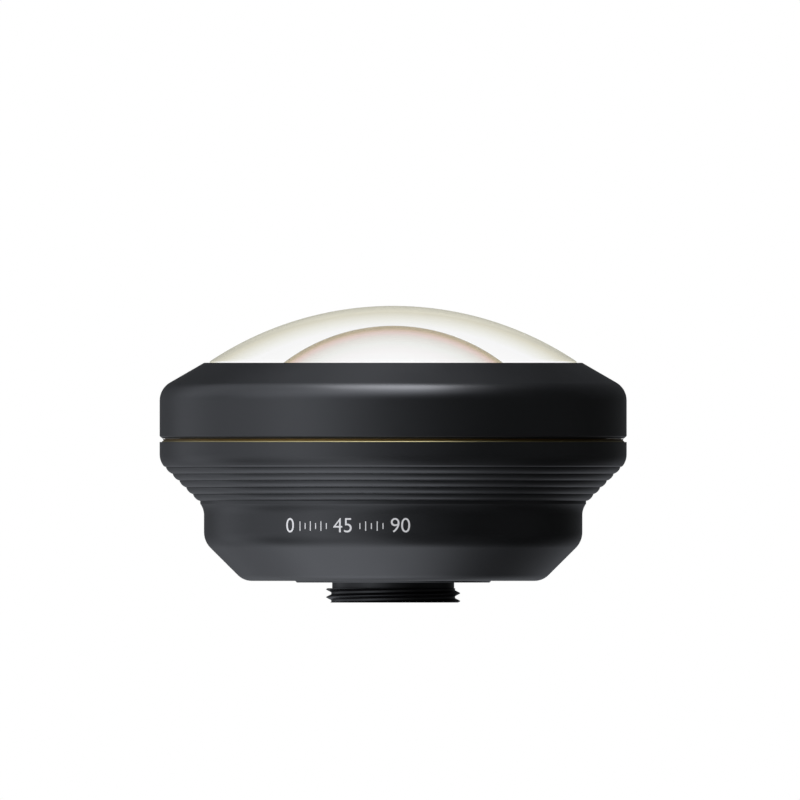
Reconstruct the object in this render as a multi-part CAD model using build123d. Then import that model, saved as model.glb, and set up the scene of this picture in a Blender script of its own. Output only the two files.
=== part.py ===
from build123d import *
import os
from math import copysign, cos, radians, sqrt, tan

# A screw-on fisheye lens for a phone, in millimetres.
# The optical axis is Z. Height zero is the end face of the mounting thread, and +Z points out of the front glass.
# Radii are worked out from the mounting thread outwards, and heights from its end face upwards.

os.makedirs("parts", exist_ok=True)

# Fits that all pieces share
location_fit = 0.05  # radial, between metal pieces that only locate each other
lens_fit = 0.05  # radial, round each glass
thread_fit = 0.10  # radial, between the plain spigot and bore that stand for the front thread
turning_gap = 0.05  # between faces that slide on each other when the front ring turns
end_gap = 0.10  # between metal faces that must not touch before their seats do
cement_gap = 0.02  # the film inside the cemented doublet
land_width = 0.80  # flat ground ring round each polished face
cement_land_width = 0.30  # the same at the cemented faces
slot_width = 1.10  # spanner slots of the retaining rings
slot_depth = 0.60
overrun = 1.0  # how far a cutter passes out of what it cuts

# Mount ring: threaded boss, relief groove and the flange that shows as a raised pad.
# A shallow recess round the thread lets the flange lie flat on a case.
mount_thread_radius = 8.50
thread_length = 1.83
relief_depth = 0.75
relief_length = 0.71
recess_play = 0.10  # from the crest of the thread to the edge of the recess
recess_depth = 0.15
pad_width = 3.73
pad_chamfer = 0.21
flange_thickness = 1.63
boss_wall = 1.95
rear_seat_thickness = 0.80
gasket_thickness = 0.40
gasket_inset = 0.50  # from the nose of the inner cell to the hole of the gasket

# Screws that hold the mount ring
screw_count = 3
screw_radius = 0.80
screw_head_radius = 1.25
screw_head_depth = 0.70
screw_sink = 0.05
screw_hole_clearance = 0.06
screw_first_angle = 90

# Rear glass and its retainer
rear_edge_thickness = 1.40
rear_front_face_radius = 14.0
rear_back_face_radius = 20.0
rear_retainer_thickness = 1.10

# Inner cell
nose_step = 1.55  # from the rear bore to the nose of the cell
nose_wall = 0.55
nose_seat_width = 1.50
nose_seat_thickness = 1.40
cell_waist_wall = 2.00
cell_wall = 1.05
cell_flange_width = 2.95
cell_flange_thickness = 1.50
shim_thickness = 0.30

# Cemented doublet, its spacer and the stop
flint_centre_thickness = 0.90
cement_face_radius = 14.0
crown_edge_thickness = 1.10
crown_front_face_radius = 13.0
rear_spacer_length = 2.40
stop_thickness = 0.30
stop_hole_radius = 3.00
middle_spacer_length = 1.20

# Third glass and the ring that holds the stack
third_step = 2.00
third_centre_thickness = 1.00
third_back_face_radius = 16.0
third_front_face_radius = 25.0
stack_retainer_thickness = 1.20
stack_headroom = 1.40

# Second glass and its retainer
second_step = 5.50
second_seat_width = 2.50
second_edge_thickness = 2.00
second_centre_thickness = 2.20
second_front_face_radius = 19.0
second_back_face_radius = 11.0
second_retainer_step = 1.35
second_retainer_thickness = 1.60
retainer_relief = 0.30

# Barrel, from its base up to the shoulder under the gold ring
web_thickness = 1.80
barrel_relief_depth = 3.10
barrel_land_length = 2.60
neck_wall = 3.43
base_chamfer_run = 5.04
base_chamfer_rise = 5.01
base_fillet_radius = 2.51
neck_foot_fillet_radius = 2.85
neck_height = 3.34
flare_run = 0.47
flare_rise = 1.45
flare_lip_run = 0.08
flare_lip_rise = 0.35
rib_count = 5
rib_pitch = 0.86
rib_face_radius = 1.28
bead_run = 0.40  # the small bead between the ribs and the shoulder
bead_rise = 0.33
bead_face_radius = 0.57
shoulder_run = 0.38
shoulder_rise = 1.31
barrel_side_height = 1.56

# Front opening of the barrel
spigot_wall = 1.00
spigot_headroom = 0.40
spigot_chamfer = 0.25
front_seat_width = 3.05
seal_groove_width = 1.20
seal_groove_depth = 0.80
seal_play = 0.05
seal_corner_radius = 0.25

# Gold ring between the barrel and the front ring, with a V groove round its edge
accent_inset = 0.38
accent_lip = 0.11  # how far its lower edge stands out past the upper one
accent_groove_depth = 0.11
accent_groove_rise = 0.19
accent_thickness = 0.38

# Front ring
ring_wall = 2.00
ring_foot_chamfer_run = 0.36
ring_foot_chamfer_rise = 0.32
ring_entry_chamfer = 0.30
ring_side_height = 6.37
ring_cone_angle = 30
ring_cone_fillet_radius = 2.64
lip_thickness = 1.00
lip_land = 0.47
lip_clearance = 0.24

# Slip washer under the lip
washer_thickness = 0.30
washer_inset = 0.10

# Front glass
dome_inset = 3.21  # from its ground edge to the dome that shows
dome_stand = 0.17
dome_face_radius = 42.00
dome_centre_thickness = 2.53
dome_back_face_radius = 23.03
front_edge_thickness = 2.20

# Light trap round the second glass
trap_step_count = 6
trap_wall = 1.10
trap_throat_gap = 0.50
trap_foot_height = 1.60


def sphere_z(pole_z, face_radius, r):
    """Height of a polished face at distance r from the axis. A positive face radius bulges forward."""
    return pole_z - face_radius + copysign(sqrt(face_radius**2 - r**2), face_radius)


def pole_over(land_z, face_radius, r):
    """Height of the pole of a polished face that meets its ground land at distance r."""
    return land_z + face_radius - copysign(sqrt(face_radius**2 - r**2), face_radius)


def land_radius_at(land_z, pole_z, face_radius):
    """Distance from the axis at which a forward face comes down to the plane of its land."""
    return sqrt(face_radius**2 - (land_z - pole_z + face_radius) ** 2)


# Heights and radii of the mount
pad_face_z = thread_length + relief_length
base_z = pad_face_z + pad_chamfer
relief_radius = mount_thread_radius - relief_depth
recess_radius = mount_thread_radius + recess_play
pad_face_radius = mount_thread_radius + pad_width
flange_radius = pad_face_radius + pad_chamfer
mount_top_z = pad_face_z + flange_thickness
rear_bore_radius = mount_thread_radius - boss_wall
rear_radius = rear_bore_radius - lens_fit
rear_land_radius = rear_radius - land_width
rear_seat_z = mount_top_z - rear_seat_thickness
rear_edge_z = rear_seat_z - rear_edge_thickness
screw_circle_radius = (recess_radius + pad_face_radius) / 2

# Heights and radii of the inner cell and what it holds
cell_bottom_z = mount_top_z + gasket_thickness
web_top_z = cell_bottom_z + web_thickness
nose_radius = rear_bore_radius + nose_step
stack_bore_radius = nose_radius - nose_wall
stack_radius = stack_bore_radius - lens_fit
nose_exit_radius = stack_radius - nose_seat_width
stack_seat_z = cell_bottom_z + nose_seat_thickness
cement_land_radius = stack_radius - cement_land_width
cement_pole_z = stack_seat_z + flint_centre_thickness
cement_land_z = sphere_z(cement_pole_z, -cement_face_radius, cement_land_radius)
stack_land_radius = stack_radius - land_width
crown_land_z = cement_land_z + cement_gap + crown_edge_thickness
crown_pole_z = pole_over(crown_land_z, crown_front_face_radius, stack_land_radius)
stop_z = crown_land_z + rear_spacer_length
stop_top_z = stop_z + stop_thickness
third_seat_z = stop_top_z + middle_spacer_length
third_radius = stack_radius + third_step
third_bore_radius = third_radius + lens_fit
third_front_land_radius = third_radius - land_width
third_back_pole_z = pole_over(third_seat_z, third_back_face_radius, stack_land_radius)
third_front_pole_z = third_back_pole_z + third_centre_thickness
third_land_z = sphere_z(third_front_pole_z, -third_front_face_radius, third_front_land_radius)
stack_retainer_top_z = third_land_z + stack_retainer_thickness
second_radius = third_radius + second_step
second_bore_radius = second_radius + lens_fit
second_land_radius = second_radius - land_width
second_seat_radius = second_radius - second_seat_width
second_seat_z = stack_retainer_top_z + stack_headroom
second_land_z = second_seat_z + second_edge_thickness
second_pole_z = pole_over(second_land_z, second_front_face_radius, second_land_radius)
second_back_pole_z = second_pole_z - second_centre_thickness
retainer_bore_radius = second_bore_radius + second_retainer_step
cell_top_z = second_land_z + second_retainer_thickness
cell_radius = retainer_bore_radius + cell_wall
cell_waist_radius = third_bore_radius + cell_waist_wall
cell_flange_radius = cell_radius + cell_flange_width
cell_flange_top_z = second_seat_z
cell_flange_z = cell_flange_top_z - cell_flange_thickness
cell_land_z = cell_flange_z - shim_thickness - barrel_land_length

# Heights and radii of the barrel
barrel_bore_radius = cell_radius + location_fit
barrel_relief_radius = barrel_bore_radius + barrel_relief_depth
neck_radius = barrel_relief_radius + neck_wall
base_corner_radius = neck_radius - base_chamfer_run
neck_foot_z = base_z + base_chamfer_rise
neck_top_z = neck_foot_z + neck_height
flare_radius = neck_radius + flare_run
flare_top_z = neck_top_z + flare_rise
grip_foot_radius = flare_radius + flare_lip_run
grip_foot_z = flare_top_z + flare_lip_rise
grip_top_radius = grip_foot_radius + rib_count * rib_pitch
grip_top_z = grip_foot_z + rib_count * rib_pitch
bead_radius = grip_top_radius + bead_run
bead_z = grip_top_z + bead_rise
barrel_radius = bead_radius + shoulder_run
shoulder_z = bead_z + shoulder_rise
barrel_top_z = shoulder_z + barrel_side_height

# Heights and radii of the front ring, and of the opening that it screws on
ring_bottom_z = barrel_top_z + accent_thickness + turning_gap
ring_bore_radius = barrel_radius - ring_wall
spigot_radius = ring_bore_radius - thread_fit
front_bore_radius = spigot_radius - spigot_wall
front_radius = front_bore_radius - lens_fit
dome_radius = front_radius - dome_inset
lip_radius = dome_radius + lip_clearance
rim_radius = lip_radius + lip_land
cone_slope = tan(radians(ring_cone_angle))
cone_foot_z = ring_bottom_z + ring_side_height
rim_z = cone_foot_z + (barrel_radius - rim_radius) * cone_slope


def cone_z(r, depth):
    """Height of the cone that lies the given depth inside the outer cone of the front ring."""
    return rim_z + (rim_radius - r) * cone_slope - depth / cos(radians(ring_cone_angle))


washer_top_depth = lip_thickness + turning_gap
washer_bottom_depth = washer_top_depth + washer_thickness
glass_depth = washer_bottom_depth + turning_gap
dome_edge_z = rim_z + dome_stand
dome_pole_z = pole_over(dome_edge_z, dome_face_radius, dome_radius)
dome_back_pole_z = dome_pole_z - dome_centre_thickness
front_seat_z = cone_z(front_radius, glass_depth) - front_edge_thickness
front_seat_radius = front_bore_radius - front_seat_width
spigot_top_z = cone_z(spigot_radius, glass_depth) - spigot_headroom
seal_middle_radius = (front_seat_radius + front_bore_radius) / 2


def turned(*outline):
    """A solid turned about the optical axis. Its outline is a closed run of edges, as (radius, height)."""
    return revolve(Plane.XZ * make_face(Curve() + list(outline)), Axis.Z)


def turned_ring(*corners):
    """A solid turned from the corners of its section."""
    return turned(Polyline(*corners, close=True))


def face_arc(pole_z, face_radius, land_radius):
    """A polished face from the axis out to its land."""
    middle = land_radius / 2
    return ThreePointArc(
        (0, pole_z),
        (middle, sphere_z(pole_z, face_radius, middle)),
        (land_radius, sphere_z(pole_z, face_radius, land_radius)),
    )


def slotted(retainer, outer_radius, face_z):
    """Cuts a pair of spanner slots across the face of a retaining ring."""
    cutter = Box(2 * (outer_radius + overrun), slot_width, 2 * slot_depth)
    return retainer - Pos(Z=face_z) * cutter


def around_screws(solid):
    """Copies of a solid at every mount screw."""
    return PolarLocations(screw_circle_radius, screw_count, screw_first_angle) * solid


def screw_holes(bottom_z, top_z):
    """Clearance holes for the mount screws between two heights, run out at both ends."""
    length = top_z - bottom_z + 2 * overrun
    hole = Cylinder(screw_radius + screw_hole_clearance, length)
    return around_screws(Pos(Z=(bottom_z + top_z) / 2) * hole)


def screw_head(clearance):
    """Countersunk head of a mount screw, widened and sunk by a clearance for its seat."""
    height = screw_head_depth + screw_sink
    cone = Cone(screw_head_radius + clearance, screw_radius + clearance, height)
    return Pos(Z=pad_face_z + height / 2) * cone


def mount_ring():
    """Flange and threaded boss, with a stepped bore that the rear glass drops into from behind."""
    body = turned_ring(
        (rear_bore_radius, 0),
        (mount_thread_radius, 0),
        (mount_thread_radius, thread_length),
        (relief_radius, thread_length),
        (relief_radius, pad_face_z + recess_depth),
        (recess_radius, pad_face_z + recess_depth),
        (recess_radius, pad_face_z),
        (pad_face_radius, pad_face_z),
        (flange_radius, base_z),
        (flange_radius, mount_top_z),
        (rear_land_radius, mount_top_z),
        (rear_land_radius, rear_seat_z),
        (rear_bore_radius, rear_seat_z),
    )
    return body - screw_holes(pad_face_z, mount_top_z) - around_screws(screw_head(screw_hole_clearance))


def mount_screws():
    """Countersunk screws through the flange into the base of the barrel."""
    shank_z = pad_face_z + screw_sink
    shank_top_z = web_top_z - end_gap
    shank = Cylinder(screw_radius, shank_top_z - shank_z)
    head = Pos(Z=screw_sink) * screw_head(0)
    head_cap = Pos(Z=mount_top_z) * Box(
        2 * flange_radius, 2 * flange_radius, 2 * (mount_top_z - pad_face_z)
    )
    screw = Pos(Z=(shank_z + shank_top_z) / 2) * shank + (head & head_cap)
    return Part() + around_screws(screw)


def rear_gasket():
    """Flat gasket between the flange and the base of the barrel."""
    disc = turned_ring(
        (nose_radius + gasket_inset, mount_top_z),
        (flange_radius - location_fit, mount_top_z),
        (flange_radius - location_fit, cell_bottom_z),
        (nose_radius + gasket_inset, cell_bottom_z),
    )
    return disc - screw_holes(mount_top_z, cell_bottom_z)


def rear_element():
    """Positive glass in the threaded boss."""
    front_pole_z = pole_over(rear_seat_z, rear_front_face_radius, rear_land_radius)
    back_pole_z = pole_over(rear_edge_z, -rear_back_face_radius, rear_land_radius)
    return turned(
        face_arc(back_pole_z, -rear_back_face_radius, rear_land_radius),
        Polyline(
            (rear_land_radius, rear_edge_z),
            (rear_radius, rear_edge_z),
            (rear_radius, rear_seat_z),
            (rear_land_radius, rear_seat_z),
        ),
        face_arc(front_pole_z, rear_front_face_radius, rear_land_radius),
        Line((0, front_pole_z), (0, back_pole_z)),
    )


def rear_retainer():
    """Slotted ring behind the rear glass."""
    outer_radius = rear_bore_radius - location_fit
    bottom_z = rear_edge_z - rear_retainer_thickness
    body = turned_ring(
        (rear_land_radius, bottom_z),
        (outer_radius, bottom_z),
        (outer_radius, rear_edge_z),
        (rear_land_radius, rear_edge_z),
    )
    return slotted(body, outer_radius, bottom_z)


def doublet_rear():
    """Flint of the cemented doublet: flat behind and hollow in front."""
    return turned(
        Polyline(
            (0, cement_pole_z),
            (0, stack_seat_z),
            (stack_radius, stack_seat_z),
            (stack_radius, cement_land_z),
            (cement_land_radius, cement_land_z),
        ),
        face_arc(cement_pole_z, -cement_face_radius, cement_land_radius),
    )


def doublet_front():
    """Crown of the cemented doublet: domed on both faces."""
    back_pole_z = cement_pole_z + cement_gap
    back_land_z = cement_land_z + cement_gap
    return turned(
        face_arc(back_pole_z, -cement_face_radius, cement_land_radius),
        Polyline(
            (cement_land_radius, back_land_z),
            (stack_radius, back_land_z),
            (stack_radius, crown_land_z),
            (stack_land_radius, crown_land_z),
        ),
        face_arc(crown_pole_z, crown_front_face_radius, stack_land_radius),
        Line((0, crown_pole_z), (0, back_pole_z)),
    )


def stack_spacer(bottom_z, top_z):
    """Spacer ring that stands on the ground land of a glass."""
    return turned_ring(
        (stack_land_radius, bottom_z),
        (stack_radius, bottom_z),
        (stack_radius, top_z),
        (stack_land_radius, top_z),
    )


def aperture_stop():
    """Thin disc whose hole is bevelled to a knife edge at its rear face."""
    return turned_ring(
        (stop_hole_radius, stop_z),
        (stack_radius, stop_z),
        (stack_radius, stop_top_z),
        (stop_hole_radius + stop_thickness, stop_top_z),
    )


def third_element():
    """Biconcave glass, which rests on the cell and on the middle spacer."""
    return turned(
        face_arc(third_back_pole_z, third_back_face_radius, stack_land_radius),
        Polyline(
            (stack_land_radius, third_seat_z),
            (third_radius, third_seat_z),
            (third_radius, third_land_z),
            (third_front_land_radius, third_land_z),
        ),
        face_arc(third_front_pole_z, -third_front_face_radius, third_front_land_radius),
        Line((0, third_front_pole_z), (0, third_back_pole_z)),
    )


def stack_retainer():
    """Slotted ring that holds the stack in the cell."""
    outer_radius = third_bore_radius - location_fit
    body = turned_ring(
        (third_front_land_radius, third_land_z),
        (outer_radius, third_land_z),
        (outer_radius, stack_retainer_top_z),
        (third_front_land_radius, stack_retainer_top_z),
    )
    return slotted(body, outer_radius, stack_retainer_top_z)


def second_element():
    """Deep negative meniscus behind the front glass."""
    back_land_radius = land_radius_at(second_seat_z, second_back_pole_z, second_back_face_radius)
    return turned(
        face_arc(second_back_pole_z, second_back_face_radius, back_land_radius),
        Polyline(
            (back_land_radius, second_seat_z),
            (second_radius, second_seat_z),
            (second_radius, second_land_z),
            (second_land_radius, second_land_z),
        ),
        face_arc(second_pole_z, second_front_face_radius, second_land_radius),
        Line((0, second_pole_z), (0, second_back_pole_z)),
    )


def second_retainer():
    """Slotted ring that holds the second glass."""
    outer_radius = retainer_bore_radius - location_fit
    body = turned_ring(
        (second_land_radius, second_land_z),
        (outer_radius, second_land_z),
        (outer_radius, cell_top_z),
        (second_land_radius, cell_top_z),
    )
    return slotted(body, outer_radius, cell_top_z)


def inner_cell():
    """Tube that holds the optics, hung in the barrel by its flange, with its nose in the base."""
    return turned_ring(
        (nose_exit_radius, cell_bottom_z),
        (nose_radius, cell_bottom_z),
        (nose_radius, web_top_z + end_gap),
        (cell_waist_radius, web_top_z + end_gap),
        (cell_waist_radius, cell_land_z),
        (cell_radius, cell_land_z + cell_radius - cell_waist_radius),
        (cell_radius, cell_flange_z),
        (cell_flange_radius, cell_flange_z),
        (cell_flange_radius, cell_flange_top_z),
        (cell_radius, cell_flange_top_z),
        (cell_radius, cell_top_z),
        (retainer_bore_radius, cell_top_z),
        (retainer_bore_radius, second_land_z - retainer_relief),
        (second_bore_radius, second_land_z - retainer_relief),
        (second_bore_radius, second_seat_z),
        (second_seat_radius, second_seat_z),
        (third_bore_radius, stack_retainer_top_z),
        (third_bore_radius, third_seat_z),
        (stack_bore_radius, third_seat_z),
        (stack_bore_radius, stack_seat_z),
        (nose_exit_radius, stack_seat_z),
    )


def focus_shim():
    """Shim that sets how deep the cell hangs in the barrel."""
    return turned_ring(
        (barrel_bore_radius, cell_flange_z - shim_thickness),
        (cell_flange_radius, cell_flange_z - shim_thickness),
        (cell_flange_radius, cell_flange_z),
        (barrel_bore_radius, cell_flange_z),
    )


def convex_edge(start, end, face_radius):
    """An arc that bulges outwards and down from its chord, which climbs outwards."""
    chord = end - start
    bulge = face_radius - sqrt(face_radius**2 - (chord.length / 2) ** 2)
    crest = (start + end) / 2 + Vector(chord.Y, -chord.X).normalized() * bulge
    return ThreePointArc(start, crest, end)


def grip_edges():
    """The ribbed band: equal convex ribs that climb outwards at 45 degrees, and a smaller bead over them."""
    edges = []
    for rib in range(rib_count):
        start = Vector(grip_foot_radius + rib * rib_pitch, grip_foot_z + rib * rib_pitch)
        edges.append(convex_edge(start, start + Vector(rib_pitch, rib_pitch), rib_face_radius))
    bead_foot = Vector(grip_top_radius, grip_top_z)
    edges.append(convex_edge(bead_foot, Vector(bead_radius, bead_z), bead_face_radius))
    return edges


def barrel():
    """Housing: base, neck, ribbed flare and shoulder outside, and a stepped bore inside."""
    flange_bore_radius = cell_flange_radius + location_fit
    pocket_radius = flange_radius + location_fit
    web_hole_radius = nose_radius + location_fit
    groove_inner_radius = seal_middle_radius - seal_groove_width / 2
    groove_outer_radius = seal_middle_radius + seal_groove_width / 2
    body = turned(
        FilletPolyline(
            (pocket_radius, base_z),
            (base_corner_radius, base_z),
            (neck_radius, neck_foot_z),
            (neck_radius, neck_top_z),
            radius=[base_fillet_radius, neck_foot_fillet_radius],
        ),
        TangentArc((neck_radius, neck_top_z), (flare_radius, flare_top_z), tangent=(0, 1)),
        Line((flare_radius, flare_top_z), (grip_foot_radius, grip_foot_z)),
        *grip_edges(),
        TangentArc((barrel_radius, shoulder_z), (bead_radius, bead_z), tangent=(0, -1)),
        Polyline(
            (barrel_radius, shoulder_z),
            (barrel_radius, barrel_top_z),
            (spigot_radius, barrel_top_z),
            (spigot_radius, spigot_top_z - spigot_chamfer),
            (spigot_radius - spigot_chamfer, spigot_top_z),
            (front_bore_radius, spigot_top_z),
            (front_bore_radius, front_seat_z),
            (groove_outer_radius, front_seat_z),
            (groove_outer_radius, front_seat_z - seal_groove_depth),
            (groove_inner_radius, front_seat_z - seal_groove_depth),
            (groove_inner_radius, front_seat_z),
            (front_seat_radius, front_seat_z),
            (front_seat_radius, cell_flange_top_z),
            (flange_bore_radius, cell_flange_top_z),
            (flange_bore_radius, cell_flange_z - shim_thickness),
            (barrel_bore_radius, cell_flange_z - shim_thickness),
            (barrel_bore_radius, cell_land_z),
            (barrel_relief_radius, cell_land_z - barrel_relief_depth),
            (barrel_relief_radius, web_top_z + barrel_relief_depth),
            (barrel_bore_radius, web_top_z),
            (web_hole_radius, web_top_z),
            (web_hole_radius, cell_bottom_z),
            (pocket_radius, cell_bottom_z),
            (pocket_radius, base_z),
        ),
    )
    return body - screw_holes(cell_bottom_z, web_top_z)


def front_seal():
    """Rubber ring, pressed flush in its groove by the front glass."""
    half_width = seal_groove_width / 2 - seal_play
    bottom_z = front_seat_z - seal_groove_depth
    section = FilletPolyline(
        (seal_middle_radius - half_width, bottom_z),
        (seal_middle_radius + half_width, bottom_z),
        (seal_middle_radius + half_width, front_seat_z),
        (seal_middle_radius - half_width, front_seat_z),
        radius=seal_corner_radius,
        close=True,
    )
    return turned(section)


def hood_baffle():
    """Light trap: a ring whose inside climbs in square steps from the cell to the front glass."""
    outer_radius = front_seat_radius - location_fit
    throat_radius = cell_radius + trap_throat_gap
    mouth_radius = outer_radius - trap_wall
    top_z = front_seat_z - end_gap
    step_run = (mouth_radius - throat_radius) / trap_step_count
    step_rise = (top_z - cell_flange_top_z - trap_foot_height) / trap_step_count
    corners = [(throat_radius, cell_flange_top_z)]
    for step in range(trap_step_count):
        tread_z = cell_flange_top_z + trap_foot_height + step * step_rise
        corners.append((throat_radius + step * step_run, tread_z))
        corners.append((throat_radius + (step + 1) * step_run, tread_z))
    corners += [(mouth_radius, top_z), (outer_radius, top_z), (outer_radius, cell_flange_top_z)]
    return turned_ring(*corners)


def accent_ring():
    """Gold ring on the shoulder of the barrel, with a V groove round its edge."""
    edge_radius = barrel_radius - accent_inset
    return turned_ring(
        (ring_bore_radius, barrel_top_z),
        (edge_radius + accent_lip, barrel_top_z),
        (edge_radius - accent_groove_depth, barrel_top_z + accent_groove_rise),
        (edge_radius, barrel_top_z + accent_thickness),
        (ring_bore_radius, barrel_top_z + accent_thickness),
    )


def front_element():
    """Front glass: a thick meniscus with a ground shoulder that the lip holds down."""
    back_land_radius = land_radius_at(front_seat_z, dome_back_pole_z, dome_back_face_radius)
    return turned(
        face_arc(dome_back_pole_z, dome_back_face_radius, back_land_radius),
        Polyline(
            (back_land_radius, front_seat_z),
            (front_radius, front_seat_z),
            (front_radius, cone_z(front_radius, glass_depth)),
            (dome_radius, cone_z(dome_radius, glass_depth)),
            (dome_radius, dome_edge_z),
        ),
        face_arc(dome_pole_z, dome_face_radius, dome_radius),
        Line((0, dome_pole_z), (0, dome_back_pole_z)),
    )


def slip_washer():
    """Thin conical washer, so that the turning ring doesn't scuff the glass."""
    inner_radius = lip_radius + washer_inset
    outer_radius = ring_bore_radius - washer_inset
    return turned_ring(
        (inner_radius, cone_z(inner_radius, washer_bottom_depth)),
        (outer_radius, cone_z(outer_radius, washer_bottom_depth)),
        (outer_radius, cone_z(outer_radius, washer_top_depth)),
        (inner_radius, cone_z(inner_radius, washer_top_depth)),
    )


def front_ring():
    """Bezel: plain side, rounded shoulder, conical lip over the glass and a threaded bore."""
    return turned(
        FilletPolyline(
            (ring_bore_radius + ring_entry_chamfer, ring_bottom_z),
            (barrel_radius - ring_foot_chamfer_run, ring_bottom_z),
            (barrel_radius, ring_bottom_z + ring_foot_chamfer_rise),
            (barrel_radius, cone_foot_z),
            (rim_radius, rim_z),
            (lip_radius, rim_z),
            (lip_radius, cone_z(lip_radius, lip_thickness)),
            (ring_bore_radius, cone_z(ring_bore_radius, lip_thickness)),
            (ring_bore_radius, ring_bottom_z + ring_entry_chamfer),
            radius=[0, 0, 0, ring_cone_fillet_radius, 0, 0, 0, 0, 0],
            close=True,
        )
    )


pieces = {
    "mount_ring": mount_ring(),
    "mount_screws": mount_screws(),
    "rear_gasket": rear_gasket(),
    "rear_element": rear_element(),
    "rear_retainer": rear_retainer(),
    "inner_cell": inner_cell(),
    "focus_shim": focus_shim(),
    "doublet_rear": doublet_rear(),
    "doublet_front": doublet_front(),
    "rear_spacer": stack_spacer(crown_land_z, stop_z),
    "aperture_stop": aperture_stop(),
    "middle_spacer": stack_spacer(stop_top_z, third_seat_z),
    "third_element": third_element(),
    "stack_retainer": stack_retainer(),
    "second_element": second_element(),
    "second_retainer": second_retainer(),
    "barrel": barrel(),
    "hood_baffle": hood_baffle(),
    "front_seal": front_seal(),
    "accent_ring": accent_ring(),
    "front_element": front_element(),
    "slip_washer": slip_washer(),
    "front_ring": front_ring(),
}

for name, shape in pieces.items():
    export_step(shape, f"parts/{name}.step")
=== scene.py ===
"""Looks of a screw-on fisheye lens for a phone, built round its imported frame."""

from contextlib import contextmanager
from math import asin, atan2, copysign, cos, pi, radians, sin, sqrt, tan

import bmesh
import bpy
from mathutils import Matrix, Vector


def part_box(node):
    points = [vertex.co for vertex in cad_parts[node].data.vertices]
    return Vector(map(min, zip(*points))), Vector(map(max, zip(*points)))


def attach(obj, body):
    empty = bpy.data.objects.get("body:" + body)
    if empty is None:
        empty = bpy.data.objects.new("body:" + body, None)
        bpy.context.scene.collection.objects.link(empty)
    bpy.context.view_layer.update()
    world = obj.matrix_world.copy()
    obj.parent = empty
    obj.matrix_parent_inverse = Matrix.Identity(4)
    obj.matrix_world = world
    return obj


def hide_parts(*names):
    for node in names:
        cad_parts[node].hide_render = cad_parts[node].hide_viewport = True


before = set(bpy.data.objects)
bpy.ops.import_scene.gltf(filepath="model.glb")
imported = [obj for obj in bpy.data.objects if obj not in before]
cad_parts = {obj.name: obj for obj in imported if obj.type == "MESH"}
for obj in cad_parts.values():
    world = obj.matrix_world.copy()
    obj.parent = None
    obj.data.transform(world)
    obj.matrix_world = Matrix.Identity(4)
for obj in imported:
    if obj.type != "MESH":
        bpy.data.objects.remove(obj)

bl_info = {
    "name": "Phone fisheye lens",
    "version": (1, 0, 0),
    "blender": (4, 5, 0),
    "location": "View3D > Sidebar > Lens",
    "description": "Builds the finished surfaces of a screw-on fisheye lens round its frame",
    "category": "Object",
}

MM = 0.001

# How finely pieces are turned and rounded
TURN_STEPS = 224
SMALL_TURN_STEPS = 128
ARC_STEP = radians(7.5)
FACE_STEPS = 40
SHARP_TURN = radians(20)
SMOOTH_ANGLE = radians(35)
WELD = 1e-6
ON_PLANE = 2e-6
REACH_SHARE = 0.45
MIN_ARC_STEPS = 3
SMALL_ROUND = 1.0  # in millimetres; an arc up to this radius has fewer steps
SMALL_ROUND_COARSER = 3

# Sizes that the frame gives, in millimetres
def span(node):
    """Half width, lowest height and highest height of a node of the frame."""
    low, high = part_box(node)
    return (high.x - low.x) / 2 / MM, low.z / MM, high.z / MM


_, BASE_Z, SPIGOT_TOP_Z = span("barrel")
RING_RADIUS, RING_LOW_Z, RIM_Z = span("front_ring")
ACCENT_RADIUS, BARREL_TOP_Z, ACCENT_TOP_Z = span("accent_ring")
FRONT_RADIUS, FRONT_SEAT_Z, DOME_POLE_Z = span("front_element")
FLANGE_RADIUS, THREAD_END_Z, MOUNT_TOP_Z = span("mount_ring")
SECOND_RADIUS, SECOND_SEAT_Z, SECOND_POLE_Z = span("second_element")
TRAP_RADIUS, TRAP_LOW_Z, TRAP_TOP_Z = span("hood_baffle")
CELL_FLANGE_RADIUS, CELL_BOTTOM_Z, _ = span("inner_cell")
RETAINER_RADIUS, RETAINER_LOW_Z, RETAINER_TOP_Z = span("second_retainer")
_, SHIM_LOW_Z, _ = span("focus_shim")
SEAL_RADIUS, SEAL_LOW_Z, _ = span("front_seal")
REAR_RADIUS, REAR_BACK_POLE_Z, REAR_FRONT_POLE_Z = span("rear_element")
REAR_RETAINER_RADIUS, REAR_RETAINER_LOW_Z, REAR_EDGE_Z = span("rear_retainer")

# Fits and lands, in millimetres
LENS_FIT = 0.05
LOCATION_FIT = 0.05
LAND = 0.80

# Mount, in millimetres
THREAD_LENGTH = 1.83
RELIEF_DEPTH = 0.75
RELIEF_LENGTH = 0.71
RECESS_PLAY = 0.10
RECESS_DEPTH = 0.15
PAD_CHAMFER = 0.21
THREAD_RADIUS = 8.50
ROOT_FLAT_SHARE = 0.125  # flats of a thread, in pitches
CREST_FLAT_SHARE = 0.05
FIRST_CREST_Z = 0.19
PAD_FACE_Z = THREAD_LENGTH + RELIEF_LENGTH
REAR_SEAT_Z = 3.37
SCREW_COUNT = 3
SCREW_HEAD_RADIUS = 1.25
SCREW_RADIUS = 0.80
SCREW_HEAD_DEPTH = 0.70
SCREW_SINK = 0.05
SCREW_PLAY = 0.06
SCREW_FIRST_ANGLE = radians(90)
SCREW_DRIVE_SIDES = 6
SCREW_DRIVE_RADIUS = 0.62
SCREW_DRIVE_DEPTH = 0.45
SCREW_STEPS = 48
SLOT_WIDTH = 1.10
SLOT_DEPTH = 0.60
SLOT_REACH = 3  # length of the slots' cutter, in radii of the ring

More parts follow.
